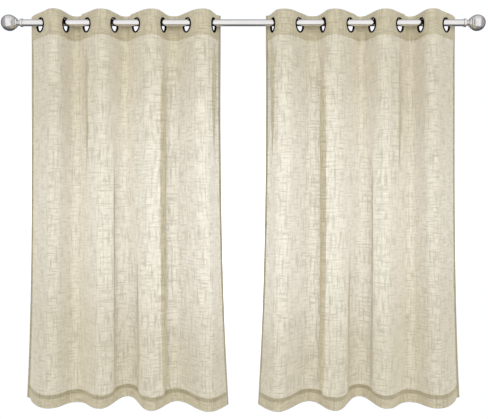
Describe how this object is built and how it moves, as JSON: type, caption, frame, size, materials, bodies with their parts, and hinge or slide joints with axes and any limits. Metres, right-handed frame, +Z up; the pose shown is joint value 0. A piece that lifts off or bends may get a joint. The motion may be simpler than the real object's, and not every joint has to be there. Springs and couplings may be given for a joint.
{
  "type": "pair of sheer eyelet curtains on a curtain rod",
  "caption": "Pair of sheer linen-look curtains hung in deep uneven folds from black metal eyelets on a round satin metal rod with ball finials.",
  "frame": {"origin": "the middle of the rod's axis, half way between its two ends", "axes": "+X along the rod to the right as seen from the room, +Y towards the wall, +Z up"},
  "size_m": [1.9736, 0.136, 1.611],
  "materials": {
    "sheer_cloth": "sheer plain weave with uneven slubbed threads",
    "eyelet_metal": "black, semi-gloss",
    "rod_metal": "satin to bright silver"
  },
  "bodies": {
    "root": {"left_panel": "sheer_cloth", "left_heading": "sheer_cloth", "left_eyelet_1": "eyelet_metal", "left_eyelet_2": "eyelet_metal", "left_eyelet_3": "eyelet_metal", "left_eyelet_4": "eyelet_metal", "left_eyelet_5": "eyelet_metal", "left_eyelet_6": "eyelet_metal", "left_eyelet_7": "eyelet_metal", "left_eyelet_8": "eyelet_metal", "right_panel": "sheer_cloth", "right_heading": "sheer_cloth", "right_eyelet_1": "eyelet_metal", "right_eyelet_2": "eyelet_metal", "right_eyelet_3": "eyelet_metal", "right_eyelet_4": "eyelet_metal", "right_eyelet_5": "eyelet_metal", "right_eyelet_6": "eyelet_metal", "right_eyelet_7": "eyelet_metal", "right_eyelet_8": "eyelet_metal", "rod": "rod_metal", "left_finial": "rod_metal", "right_finial": "rod_metal"}
  },
  "joints": []
}
